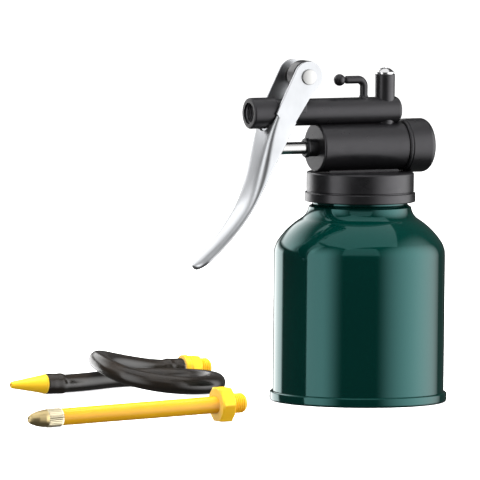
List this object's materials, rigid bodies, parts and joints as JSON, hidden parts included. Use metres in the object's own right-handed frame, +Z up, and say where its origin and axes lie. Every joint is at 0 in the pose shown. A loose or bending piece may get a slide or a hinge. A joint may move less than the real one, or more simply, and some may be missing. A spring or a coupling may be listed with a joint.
{
  "type": "lever pump oil can",
  "caption": "Squeeze-lever pump oil can: green sheet-steel can, black moulded piston pump head, pressed steel lever, with a rigid and a flexible screw-on spout lying beside it.",
  "frame": {"origin": "centre of the can's base, on the plane of the base seam's underside", "axes": "+Z up along the can's axis; the outlet points to -X; the pump barrel, outlet tube and lever lie in the plane Y = 0"},
  "size_m": [0.2596, 0.2141, 0.1677],
  "materials": {
    "can_green": "deep green gloss enamel on sheet steel",
    "black_moulding": "satin black moulded plastic with a faint moulded texture",
    "black_rubber": "matt nitrile rubber",
    "polished_steel": "ground and polished steel",
    "piston_alloy": "turned aluminium",
    "spring_steel": "drawn spring wire",
    "brass": "turned brass, lightly polished",
    "dip_plastic": "translucent natural polyethylene",
    "plated_screw": "bright chrome plating",
    "plated_lever": "bright zinc plated pressed steel, softly polished",
    "rivet_steel": "satin nickel plated steel",
    "yellow_tube": "glossy orange-yellow plastic",
    "yellow_fitting": "satin signal-yellow plastic",
    "black_hose": "glossy black synthetic rubber hose"
  },
  "bodies": {
    "can": {"can_shell": "can_green", "can_base": "can_green"},
    "pump_head": {"head_gasket": "black_rubber", "pump_body": "black_moulding", "end_cap": "black_moulding", "end_cap_seal": "black_rubber", "gland_nut": "black_moulding", "rod_seal": "black_rubber", "return_spring": "spring_steel", "suction_seat": "brass", "dip_tube": "dip_plastic", "strainer": "brass", "discharge_spring": "spring_steel", "discharge_plug": "plated_screw", "plug_washer": "plated_screw"},
    "lever": {"lever": "plated_lever", "pivot_rivet": "rivet_steel", "rivet_washer": "rivet_steel"},
    "piston": {"piston_rod": "polished_steel", "piston": "piston_alloy", "piston_seal": "black_rubber"},
    "suction_ball": {"suction_ball": "polished_steel"},
    "discharge_ball": {"discharge_ball": "polished_steel"},
    "rigid_spout": {"rigid_spout_tube": "yellow_tube", "rigid_spout_fitting": "yellow_fitting", "rigid_spout_nozzle": "brass"},
    "flexible_spout": {"flexible_hose": "black_hose", "hose_fitting": "yellow_fitting", "hose_nozzle": "yellow_fitting"}
  },
  "joints": [
    {"name": "head_lift", "type": "slide", "parent": "can", "child": "pump_head", "axis": [0, 0, 1], "range_m": [0, 0.11]},
    {"name": "trigger_pivot", "type": "hinge", "parent": "pump_head", "child": "lever", "pos_m": [-0.0336, 0, 0.16], "axis": [0, -1, 0], "range_deg": [0, 20], "stiffness_Nm_per_rad": 1.2, "springref_deg": -20.05},
    {"name": "piston_slide", "type": "slide", "parent": "pump_head", "child": "piston", "axis": [1, 0, 0], "range_m": [0, 0.01295], "deforming": ["return_spring"]},
    {"name": "suction_ball_lift", "type": "slide", "parent": "pump_head", "child": "suction_ball", "axis": [0, 0, 1], "range_m": [0, 0.0012]},
    {"name": "discharge_ball_lift", "type": "slide", "parent": "pump_head", "child": "discharge_ball", "axis": [0, 0, 1], "range_m": [0, 0.0012], "deforming": ["discharge_spring"]},
    {"name": "rigid_spout_lift", "type": "slide", "parent": "can", "child": "rigid_spout", "axis": [0, 0, 1], "range_m": [0, 0.15]},
    {"name": "flexible_spout_lift", "type": "slide", "parent": "can", "child": "flexible_spout", "axis": [0, 0, 1], "range_m": [0, 0.15]}
  ],
  "couplings": [
    {"joint": "piston_slide", "follows": "trigger_pivot", "m_per_rad": 0.0371}
  ]
}
